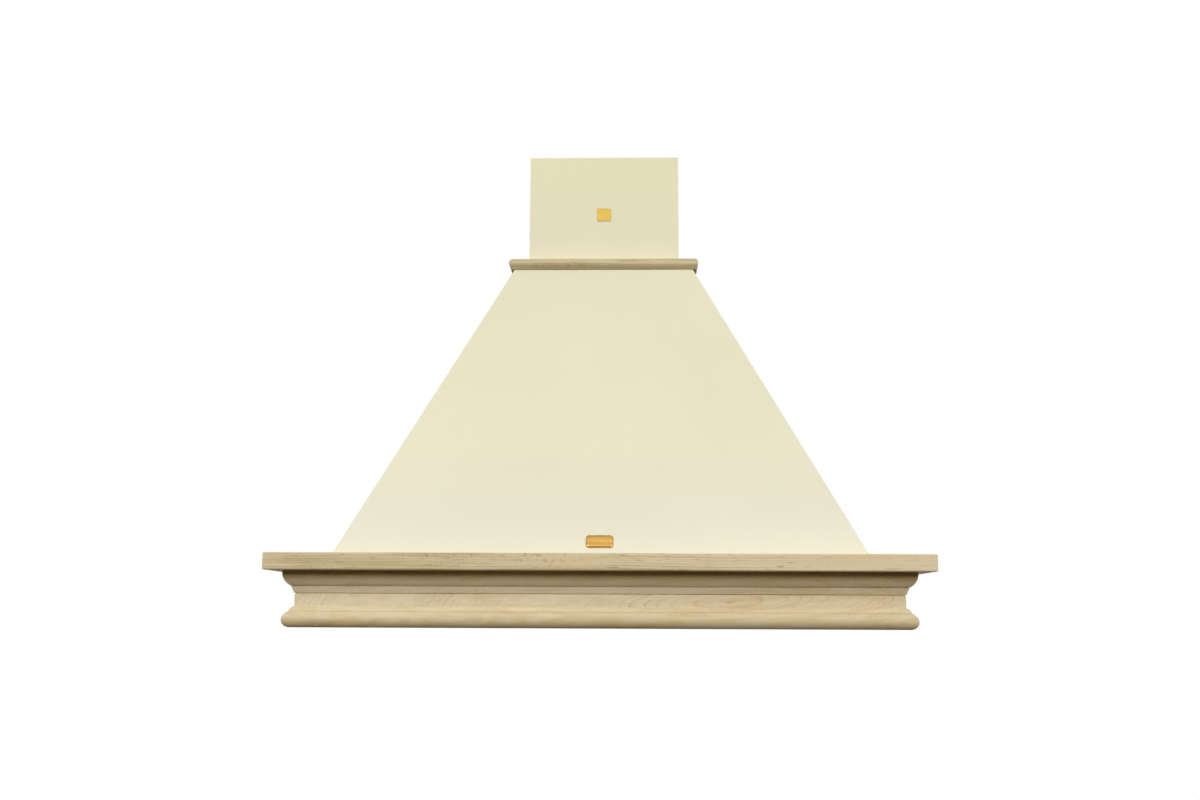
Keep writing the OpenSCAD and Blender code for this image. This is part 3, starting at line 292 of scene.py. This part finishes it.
def oak_grain_group():
    """Oak: growth rings round a wandering pith, pore dashes, cross marks and slow changes of tone, with
    painted shade towards the foot, along a crease and at the head under the shelf.

    The vector runs along the board in x and away from the pith in y and z. The pith sinks away
    from an eye at x = 0, so that the rings close round it."""
    group, given, end = new_group("oak_grain", {
        "Vector": (VECTOR, None),
        "Light": (TINT, colour(232, 216, 180)),
        "Dark": (TINT, colour(186, 162, 120)),
        "Pore": (TINT, colour(120, 96, 62)),
        "Ring Width": (FLOAT, 0.0026),
        "Eye Sink": (FLOAT, 0.0),
        "Eye Tilt": (FLOAT, 0.0),
        "Wander": (FLOAT, 0.006),
        "Contrast": (FLOAT, 1.0),
        "Cross Marks": (FLOAT, 0.15),
        "Pale End": (FLOAT, 0.0),
        "Pore Depth": (FLOAT, 0.5),
        "Foot Shade": (FLOAT, 0.0),
        "Foot Calm": (FLOAT, 0.0),
        "Painted Head Shade": (FLOAT, 0.0),
        "Crease Height": (FLOAT, 0.0),
        "Painted Crease Shade": (FLOAT, 0.0),
    }, SURFACE)
    place = axes(group, given["Vector"])
    depth, height = way_from_pith(group, given, place)
    trunk = point(group, place["X"], depth, height)
    share, year = growth_rings(group, given, depth, height)
    late = late_wood(group, given, place, share, year)
    pore = pores(group, given, trunk, share)
    streaks = noise(group, trunk, (4.0, 130.0, 130.0), 3.0, 0.6)
    wood = oak_tint(group, given, place, oak_shade(group, given, place, late, streaks))
    put_out(
        group, end,
        Color=mix(group, maths(group, "MULTIPLY", pore, given["Pore Depth"]), wood, given["Pore"]),
        Roughness=maths(group, "MULTIPLY_ADD", pore, PORE_ROUGHNESS, OAK_ROUGHNESS),
        Height=maths(group, "SUBTRACT", maths(group, "MULTIPLY", streaks, 0.3), pore),
    )
    return group


# Paint, metal, zinc and plastic

# Between these heights the paint turns to its painted light tint at the head, going up, and to its painted
# shade tint at the foot, going down, against the warm light thrown up from the shelf
PAINT_HEAD_PAINTED_LIGHT, PAINT_FOOT_PAINTED_SHADE = (0.56, 0.74), (0.30, 0.11)


def paint_skin_group():
    """Sprayed satin paint: orange peel, a faint cloud in the colour, and painted light and shade that shift
    its tint slowly with height.
    """
    group, given, end = new_group("paint_skin", {
        "Vector": (VECTOR, None),
        "Paint": (TINT, colour(232, 226, 196)),
        "Head Painted Light": (TINT, colour(232, 226, 196)),
        "Foot Painted Shade": (TINT, colour(232, 226, 196)),
        "Cloud": (FLOAT, 0.02),
        "Roughness": (FLOAT, 0.36),
    }, SURFACE)
    cloud = remap(group, noise(group, given["Vector"], even(5.0), 4.0, 0.55), *NARROW, -1.0, 1.0)
    speckle = remap(group, noise(group, given["Vector"], even(420.0), 2.0, 0.6), *WIDE, -0.35, 0.35)
    change = maths(group, "MULTIPLY", total(group, cloud, speckle), given["Cloud"])
    height = axes(group, given["Vector"])["Z"]
    # Painted light and shade: the tint shifts towards the head tint going up and the foot tint going down
    tint = mix(group, remap(group, height, *PAINT_HEAD_PAINTED_LIGHT), given["Paint"], given["Head Painted Light"])
    tint = mix(group, remap(group, height, *PAINT_FOOT_PAINTED_SHADE), tint, given["Foot Painted Shade"])
    put_out(
        group, end,
        Color=brighten(group, tint, total(group, change, 1.0)),
        Roughness=maths(group, "MULTIPLY_ADD", cloud, 0.03, given["Roughness"]),
        Height=noise(group, given["Vector"], even(520.0), 2.0, 0.4),
    )
    return group


def worked_metal_group():
    """Rolled or brushed metal: fine lines along one direction, cloudy stains and dull patches."""
    group, given, end = new_group("worked_metal", {
        "Vector": (VECTOR, None),
        "Metal": (TINT, colour(200, 202, 204)),
        "Lines": (VECTOR, (10.0, 900.0, 900.0)),
        "Stain": (FLOAT, 0.15),
        "Streak": (FLOAT, 0.06),
        "Roughness": (FLOAT, 0.35),
    }, SURFACE)
    lines = noise(group, given["Vector"], given["Lines"], 2.0, 0.6)
    swing = remap(group, lines, *WIDE, -1.0, 1.0)
    dull = remap(group, noise(group, given["Vector"], even(28.0), 5.0, 0.62), 0.35, 0.75)
    stained = maths(group, "SUBTRACT", 1.0, maths(group, "MULTIPLY", dull, given["Stain"]))
    streaked = maths(group, "MULTIPLY_ADD", swing, given["Streak"], 1.0)
    rough = maths(group, "MULTIPLY_ADD", dull, 0.14, given["Roughness"])
    put_out(
        group, end,
        Color=brighten(group, given["Metal"], maths(group, "MULTIPLY", stained, streaked)),
        Roughness=maths(group, "MULTIPLY_ADD", swing, 0.05, rough),
        Height=lines,
    )
    return group


def zinc_spangle_group():
    """Hot dipped zinc: crystals about 8 mm across, each with its own tone, and white bloom."""
    group, given, end = new_group("zinc_spangle", {
        "Vector": (VECTOR, None),
        "Zinc": (TINT, colour(188, 192, 196)),
        "Crystals": (FLOAT, 130.0),
        "Roughness": (FLOAT, 0.38),
    }, SURFACE)
    warp = noise(group, given["Vector"], even(90.0), output="Color")
    shifted = vector_maths(group, "MULTIPLY_ADD", warp, even(6.0 * MM), given["Vector"])
    crystal = add(group, "ShaderNodeTexVoronoi", {"feature": "F1"}, {
        "Vector": shifted, "Scale": given["Crystals"]})
    tone = add(group, "ShaderNodeSeparateColor", None, {0: crystal.outputs["Color"]}).outputs
    bloom = remap(group, noise(group, given["Vector"], even(14.0), 4.0, 0.6), 0.45, 0.75, 0.0, 0.10)
    value = total(group, remap(group, tone["Red"], 0.0, 1.0, 0.92, 1.03), bloom)
    put_out(
        group, end,
        Color=brighten(group, given["Zinc"], value),
        Roughness=total(group, given["Roughness"], remap(group, tone["Green"], 0.0, 1.0, -0.03, 0.04)),
        Height=tone["Blue"],
    )
    return group


def moulded_skin_group():
    """Moulded plastic: a fine spark-eroded grain, and slight mottling of its tone and gloss."""
    group, given, end = new_group("moulded_skin", {
        "Vector": (VECTOR, None),
        "Plastic": (TINT, colour(60, 60, 62)),
        "Mottle": (FLOAT, 0.12),
        "Roughness": (FLOAT, 0.5),
        "Grain": (FLOAT, 1400.0),
    }, SURFACE)
    mottle = remap(group, noise(group, given["Vector"], even(40.0), 4.0), *NARROW, -1.0, 1.0)
    value = maths(group, "MULTIPLY_ADD", mottle, given["Mottle"], 1.0)
    put_out(
        group, end,
        Color=brighten(group, given["Plastic"], value),
        Roughness=maths(group, "MULTIPLY_ADD", mottle, 0.05, given["Roughness"]),
        Height=noise(group, given["Vector"], given["Grain"], 2.0, 0.6),
    )
    return group


oak_grain = oak_grain_group()
paint_skin = paint_skin_group()
worked_metal = worked_metal_group()
zinc_spangle = zinc_spangle_group()
moulded_skin = moulded_skin_group()


# Materials

def dress(name, group, values, bump, shader, turn=(0.0, 0.0, 0.0), shift=(0.0, 0.0, 0.0)):
    """A material whose colour, roughness and bump come from one of the groups above.

    values fills the group's inputs, bump is its depth in metres, shader sets the Principled BSDF,
    and turn and shift lay the group's pattern along the piece."""
    material = bpy.data.materials.new(name)
    material.use_nodes = True
    tree = material.node_tree
    tree.nodes.clear()
    place = tree.nodes.new("ShaderNodeTexCoord").outputs["Object"]
    laid = add(tree, "ShaderNodeMapping", {"vector_type": "POINT"}, {
        "Vector": place, "Location": shift, "Rotation": turn})
    look = add(tree, "ShaderNodeGroup", {"node_tree": group}, {"Vector": laid.outputs[0], **values})
    relief = add(tree, "ShaderNodeBump", None, {
        "Height": look.outputs["Height"], "Distance": bump, "Strength": 1.0})
    surface = add(tree, "ShaderNodeBsdfPrincipled", None, {
        "Base Color": look.outputs["Color"], "Roughness": look.outputs["Roughness"],
        "Normal": relief.outputs["Normal"], **shader})
    add(tree, "ShaderNodeOutputMaterial", None, {"Surface": surface.outputs["BSDF"]})
    return material


def cream_paint(name, tint, head_painted_light=None, foot=None, roughness=0.36):
    """Paint with its tint half way up the hood, and its painted light tint at the head and painted shade
    tint at the foot, where they differ.
    """
    values = {
        "Paint": colour(*tint), "Head Painted Light": colour(*(head_painted_light or tint)), "Foot Painted Shade": colour(*(foot or tint)),
        "Cloud": 0.012, "Roughness": roughness}
    shader = {"Specular IOR Level": 0.45, "Coat Weight": 0.15, "Coat Roughness": 0.3}
    return dress(name, paint_skin, values, 0.012 * MM, shader)


def metal(name, tint, roughness, lines=(10.0, 900.0, 900.0), stain=0.15, streak=0.06, bump=0.02):
    """Metal with so many lines a metre along each axis; bump is their depth in millimetres."""
    values = {"Metal": colour(*tint), "Roughness": roughness, "Lines": lines, "Stain": stain,
              "Streak": streak}
    return dress(name, worked_metal, values, bump * MM, {"Metallic": 1.0})


def zinc_coat(name, tint):
    """Galvanised sheet."""
    return dress(name, zinc_spangle, {"Zinc": colour(*tint)}, 0.01 * MM, {"Metallic": 1.0})


def plastic(name, tint, roughness, grain=1400.0, mottle=0.08, bump=0.03):
    """Plastic with so many grains a metre; bump is their depth in millimetres."""
    values = {"Plastic": colour(*tint), "Roughness": roughness, "Grain": grain, "Mottle": mottle}
    return dress(name, moulded_skin, values, bump * MM, {"Specular IOR Level": 0.5})


SHARP_EDGE = math.radians(28.0)


def wear(name, material):
    """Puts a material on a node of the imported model, smooth but for its sharp edges."""
    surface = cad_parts[name].data
    surface.materials.clear()
    surface.materials.append(material)
    surface.shade_smooth()
    surface.set_sharp_from_angle(angle=SHARP_EDGE)


def oak_board(name, along, pith, tones, **values):
    """Puts oak on a board that runs along x or y.

    pith is the place of the tree's pith at the eye of the figure, tones are the wood's light and dark
    tint, and values fills the grain's other inputs: cross_marks goes to Cross Marks."""
    x, y, z = pith
    turn, shift = (0.0, (-x, -y, -z)) if along == "x" else (math.pi / 2, (y, -x, -z))
    light, dark = tones
    looks = {"Light": colour(*light), "Dark": colour(*dark)}
    looks.update({key.replace("_", " ").title(): value for key, value in values.items()})
    wear(name, dress("oak_" + name, oak_grain, looks, 0.05 * MM, {"Specular IOR Level": 0.30},
                     (0.0, 0.0, turn), shift))


SHELF_TONES = (224, 206, 168), (152, 128, 60)
CORNICE_TONES = (227, 211, 177), (183, 157, 104)
SIDE_TONES = (232, 216, 180), (188, 164, 122)
TRIM_TONES = (216, 200, 162), (148, 128, 84)

# Heights of the pith in the patterns of the cornice and the trim
CORNICE_PITH, TRIM_PITH = 0.037, 0.588

# Y of the front length's pith, 13 mm behind the frieze's face
FRONT_PITH = -0.4507
# The cornice's painted shade: darker towards the foot, a warm darker tint under the shelf at the head, and a
# thin dark line along the crease between bead and nose
CORNICE = {"foot_shade": 0.55, "foot_calm": 0.9, "painted_head_shade": 1.0, "pore_depth": 0.15,
           "crease_height": -0.0153, "painted_crease_shade": 0.28}

oak_board("shelf_front", "x", (0.17, -0.56, 0.02), SHELF_TONES,
          cross_marks=0.32, pale_end=0.60, contrast=1.1, pore=colour(128, 88, 52))
oak_board("shelf_left", "y", (0.36, 0.2, 0.06), SIDE_TONES)
oak_board("shelf_right", "y", (-0.44, 0.7, 0.04), SIDE_TONES)
oak_board("cornice_front", "x", (0.176, FRONT_PITH, CORNICE_PITH), CORNICE_TONES,
          eye_sink=-0.275, eye_tilt=-0.05, wander=0.004, contrast=0.8, cross_marks=0.18, **CORNICE)
oak_board("cornice_left", "y", (0.36, 0.5, CORNICE_PITH), SIDE_TONES, **CORNICE)
oak_board("cornice_right", "y", (-0.40, 0.9, CORNICE_PITH), SIDE_TONES, **CORNICE)
# Painted shade darkens the lower half of each trim
oak_board("neck_trim_front", "x", (0.1, -0.28, TRIM_PITH), TRIM_TONES, foot_shade=0.60)
oak_board("neck_trim_left", "y", (0.10, 0.3, TRIM_PITH), TRIM_TONES, foot_shade=0.60)
oak_board("neck_trim_right", "y", (-0.12, 0.8, TRIM_PITH), TRIM_TONES, foot_shade=0.60)

# Painted light and shade: a yellower tint at the head, and a darker, cooler one at the foot that takes back
# the warm light thrown up from the shelf
paint = cream_paint("cream_paint", (232, 226, 196), head_painted_light=(232, 225, 186), foot=(225, 222, 200))
inside_paint = cream_paint("cream_paint_underside", (226, 219, 190), roughness=0.42)
plate_brass = metal(
    "polished_brass", (205, 162, 86), 0.26, lines=(9.0, 130.0, 130.0), stain=0.03, streak=0.22, bump=0.0)
badge_brass = metal("satin_brass", (208, 176, 87), 0.42, lines=(30.0, 900.0, 900.0), stain=0.0, bump=0.002)
alloy = metal("mill_aluminium", (224, 226, 228), 0.38, stain=0.10)
satin_steel = metal(
    "satin_steel", (205, 205, 203), 0.28, lines=(16.0, 600.0, 600.0), stain=0.02, streak=0.04, bump=0.002)
plain_steel = metal("plain_steel", (160, 161, 163), 0.36, lines=(500.0, 500.0, 40.0), stain=0.2)
zinc = zinc_coat("zinc_coating", (206, 210, 214))
grey_plastic = plastic("grey_plastic", (104, 106, 110), 0.48)
dark_plastic = plastic("dark_plastic", (34, 34, 36), 0.42)
white_plastic = plastic("white_plastic", (216, 216, 210), 0.4)
button_plastic = plastic("button_plastic", (226, 222, 206), 0.3, grain=1800.0, bump=0.01)
frosted_lens = plastic("frosted_lens", (246, 247, 243), 0.22, grain=900.0, mottle=0.01, bump=0.04)

# The digit beside each button; the light's button has a lamp sign instead
DIGITS = {"button_off": "0", "button_speed_1": "1", "button_speed_2": "2", "button_speed_3": "3"}


def twins(*names):
    """The nodes that come as a left and a right one."""
    return tuple(name + side for name in names for side in ("_left", "_right"))


FINISHES = {
    paint: ("canopy_front_panel", "canopy_left_panel", "canopy_right_panel", "flue_cover_lower",
            "flue_cover_upper"),
    inside_paint: ("underside_panel",),
    plate_brass: ("canopy_plate",),
    badge_brass: ("flue_badge",),
    zinc: ("back_panel", "neck_plate", "flue_wall_bracket", "filter_hooks", "motor_bracket",
           "blower_brackets"),
    alloy: twins("filter_frame", "lamp_body") + ("impeller",),
    satin_steel: twins("lamp_bezel") + ("switch_bezel",),
    plain_steel: ("cornice_screws", "underside_screws", "motor_body", "motor_shaft", "damper_rod"),
    grey_plastic: twins("blower_housing") + ("outlet_transition", "outlet_collar"),
    dark_plastic: twins("filter_latch", "inlet_ring") + (
        "switch_body", "damper_flap_front", "damper_flap_rear", "control_box", "control_box_cover",
        "cable_gland"),
    white_plastic: ("run_capacitor",),
    button_plastic: ("button_light", *DIGITS),
    frosted_lens: twins("lamp_lens"),
}
for finish, names in FINISHES.items():
    for name in names:
        wear(name, finish)


# New pieces

def new_object(name, data):
    """Puts a mesh, curve, light or camera into the scene."""
    piece = bpy.data.objects.new(name, data)
    bpy.context.scene.collection.objects.link(piece)
    return piece


def new_mesh(name, surface):
    """Puts what a bmesh holds into the scene."""
    data = bpy.data.meshes.new(name)
    surface.to_mesh(data)
    surface.free()
    return new_object(name, data)


# Grease filter meshes: pleated layers of expanded aluminium

PLEATS = 24
DIAMONDS_ACROSS = 32
STRAND = 0.9 * MM
PLEAT_RISE = 2.2 * MM
LAYER_GAP = 1.5 * MM


def expanded_layer(surface, low, high, middle, phase):
    """Adds the diamonds of one pleated layer to a bmesh; phase shifts its folds by quarters of a pleat."""
    rows = 4 * PLEATS
    columns = 2 * DIAMONDS_ACROSS
    corners = {}
    for row in range(rows + 1):
        # 1 on a ridge, 0 half way down and -1 in a valley
        fold = abs((row + phase) % 4 - 2) - 1
        for column in range(row % 2, columns + 1, 2):
            corners[row, column] = surface.verts.new((
                low.x + (high.x - low.x) * column / columns,
                low.y + (high.y - low.y) * row / rows,
                middle + fold * PLEAT_RISE / 2,
            ))
    for row in range(rows - 1):
        for column in range(row % 2, columns + 1, 2):
            diamond = ((row, column), (row + 1, column + 1), (row + 2, column), (row + 1, column - 1))
            if all(corner in corners for corner in diamond):
                surface.faces.new([corners[corner] for corner in diamond])


def filter_mesh(side, body):
    """Expanded mesh of one grease filter, in the groove of its frame."""
    low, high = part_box("filter_mesh_" + side)
    middle = (low.z + high.z) / 2
    surface = bmesh.new()
    expanded_layer(surface, low, high, middle - LAYER_GAP / 2, 0)
    expanded_layer(surface, low, high, middle + LAYER_GAP / 2, 1)
    piece = new_mesh("expanded_mesh_" + side, surface)
    wires = piece.modifiers.new("strands", "WIREFRAME")
    wires.thickness = STRAND
    wires.use_boundary = True
    piece.data.materials.append(alloy)
    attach(piece, body)
    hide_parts("filter_mesh_" + side)


for side in ("left", "right"):
    filter_mesh(side, "filter_" + side)


# Printed marks beside the push buttons

INK = 0.03 * MM
MARK_HEIGHT = 5.0 * MM
MARK_OFFSET = 12.0 * MM
TYPE_SIZE = 1.4 * MARK_HEIGHT

# The lamp sign: radii of its ring, and where its rays begin and end and half their width
RING_RADII = (0.26 * MARK_HEIGHT, 0.18 * MARK_HEIGHT)
RING_STEPS = 24
RAYS = 8
RAY_NEAR, RAY_FAR, RAY_HALF = 0.33 * MARK_HEIGHT, 0.50 * MARK_HEIGHT, 0.04 * MARK_HEIGHT

ink = plastic("printed_ink", (38, 38, 40), 0.5, grain=900.0, mottle=0.03, bump=0.01)


def printed_mark(data, button):
    """Lays a flat text or outline on the bezel, on the wall side of a button, to be read from below."""
    low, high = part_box(button)
    bezel_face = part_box("switch_bezel")[0].z
    data.extrude = INK
    data.materials.append(ink)
    piece = new_object("mark_" + button, data)
    piece.location = ((low.x + high.x) / 2, (low.y + high.y) / 2 + MARK_OFFSET, bezel_face - INK)
    piece.rotation_euler = (math.pi, 0.0, 0.0)
    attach(piece, "hood")


def numeral(digit):
    """A digit in the plain built-in typeface."""
    data = bpy.data.curves.new("numeral_" + digit, "FONT")
    data.body = digit
    data.size = TYPE_SIZE
    data.align_x = "CENTER"
    data.align_y = "CENTER"
    return data


def closed_outline(data, points):
    """Adds a closed outline with straight sides to a curve."""
    spline = data.splines.new("POLY")
    spline.points.add(len(points) - 1)
    for corner, (x, y) in zip(spline.points, points):
        corner.co = (x, y, 0.0, 1.0)
    spline.use_cyclic_u = True


def lamp_sign():
    """A small ring with rays, the usual sign for a light."""
    data = bpy.data.curves.new("lamp_sign", "CURVE")
    data.dimensions = "2D"
    data.fill_mode = "BOTH"
    turns = [2 * math.pi * step / RING_STEPS for step in range(RING_STEPS)]
    for radius in RING_RADII:
        closed_outline(data, [(radius * math.cos(turn), radius * math.sin(turn)) for turn in turns])
    corners = ((RAY_NEAR, -RAY_HALF), (RAY_FAR, -RAY_HALF), (RAY_FAR, RAY_HALF), (RAY_NEAR, RAY_HALF))
    for ray in range(RAYS):
        turn = Matrix.Rotation(2 * math.pi * ray / RAYS, 2)
        closed_outline(data, [tuple(turn @ Vector(corner)) for corner in corners])
    return data


printed_mark(lamp_sign(), "button_light")
for button, digit in DIGITS.items():
    printed_mark(numeral(digit), button)


# Camera, lights and floor

PHOTO_WIDTH = 1200
FOCAL_PIXELS = 1299.4
SENSOR_WIDTH = 36.0
CAMERA_PLACE = Vector((0.0457, -2.2407, 0.010))
CAMERA_PAN, CAMERA_RISE, CAMERA_ROLL = -1.446, 9.658, 0.247


def photo_camera():
    """The photograph's viewpoint: low in front of the hood, looking slightly up."""
    data = bpy.data.cameras.new("photo_camera")
    data.sensor_width = SENSOR_WIDTH
    data.lens = SENSOR_WIDTH * FOCAL_PIXELS / PHOTO_WIDTH
    data.clip_end = 50.0
    camera = new_object("photo_camera", data)
    pan, rise, roll = (math.radians(angle) for angle in (CAMERA_PAN, CAMERA_RISE, CAMERA_ROLL))
    forward = Vector((math.sin(pan) * math.cos(rise), math.cos(pan) * math.cos(rise), math.sin(rise)))
    level = Vector((math.cos(pan), -math.sin(pan), 0.0))
    over = level.cross(forward)
    right = level * math.cos(roll) + over * math.sin(roll)
    up = over * math.cos(roll) - level * math.sin(roll)
    turned = Matrix((right, up, -forward)).transposed()
    camera.matrix_world = Matrix.Translation(CAMERA_PLACE) @ turned.to_4x4()
    bpy.context.scene.camera = camera


# Strength of the sky underneath and overhead, and what is added behind the hood
SKY_UNDER, SKY_OVER, SKY_BEHIND = 0.03, 0.50, 0.60

# Z of the directions between which the sky brightens upwards, and Z and Y of those between which it
# gets what is added behind
OVER_RISE, BEHIND_RISE, BEHIND_WAY = (-0.10, 0.45), (-0.80, -0.20), (0.20, 0.80)


def sky():
    """White backdrop for the camera, and for the light a bright ceiling and back."""
    white = (1.0, 1.0, 1.0, 1.0)
    world = bpy.data.worlds.new("studio")
    world.use_nodes = True
    bpy.context.scene.world = world
    tree = world.node_tree
    tree.nodes.clear()
    way = axes(tree, tree.nodes.new("ShaderNodeTexCoord").outputs["Generated"])
    over = remap(tree, way["Z"], *OVER_RISE, SKY_UNDER, SKY_OVER)
    behind = maths(tree, "MULTIPLY", remap(tree, way["Y"], *BEHIND_WAY), remap(tree, way["Z"], *BEHIND_RISE))
    strength = maths(tree, "MULTIPLY_ADD", behind, SKY_BEHIND, over)
    light = add(tree, "ShaderNodeBackground", None, {"Color": white, "Strength": strength})
    backdrop = add(tree, "ShaderNodeBackground", None, {"Color": white, "Strength": 1.0})
    ray = tree.nodes.new("ShaderNodeLightPath").outputs["Is Camera Ray"]
    seen = add(tree, "ShaderNodeMixShader", None, {0: ray, 1: light.outputs[0], 2: backdrop.outputs[0]})
    add(tree, "ShaderNodeOutputWorld", None, {"Surface": seen.outputs[0]})


LIT_PLACE = Vector((0.0, -0.30, 0.30))


def soft_box(name, place, size, watts):
    """A rectangular lamp in front of the hood, aimed at its middle."""
    data = bpy.data.lights.new(name, "AREA")
    data.shape = "RECTANGLE"
    data.size, data.size_y = size
    data.energy = watts
    light = new_object(name, data)
    light.location = place
    light.rotation_euler = (LIT_PLACE - Vector(place)).to_track_quat("-Z", "Y").to_euler()


def pale_floor(level, reach):
    """Round floor, well under the hood, which hangs at wall height."""
    ring = bmesh.new()
    bmesh.ops.create_circle(ring, cap_ends=True, segments=96, radius=reach)
    floor = new_mesh("studio_floor", ring)
    floor.location = (0.0, 0.0, level)
    floor.data.materials.append(
        plastic("floor_paint", (206, 206, 204), 0.6, grain=300.0, mottle=0.01, bump=0.05))


photo_camera()
sky()
soft_box("soft_box_left", place=(-1.9, -3.0, 1.3), size=(1.8, 1.2), watts=47.0)
soft_box("soft_box_right", place=(2.0, -3.0, 1.3), size=(1.8, 1.2), watts=45.0)
soft_box("soft_box_over", place=(0.0, -2.7, 1.9), size=(2.4, 0.8), watts=10.0)
pale_floor(level=-1.65, reach=1.2)
bpy.context.scene.view_settings.view_transform = "Standard"
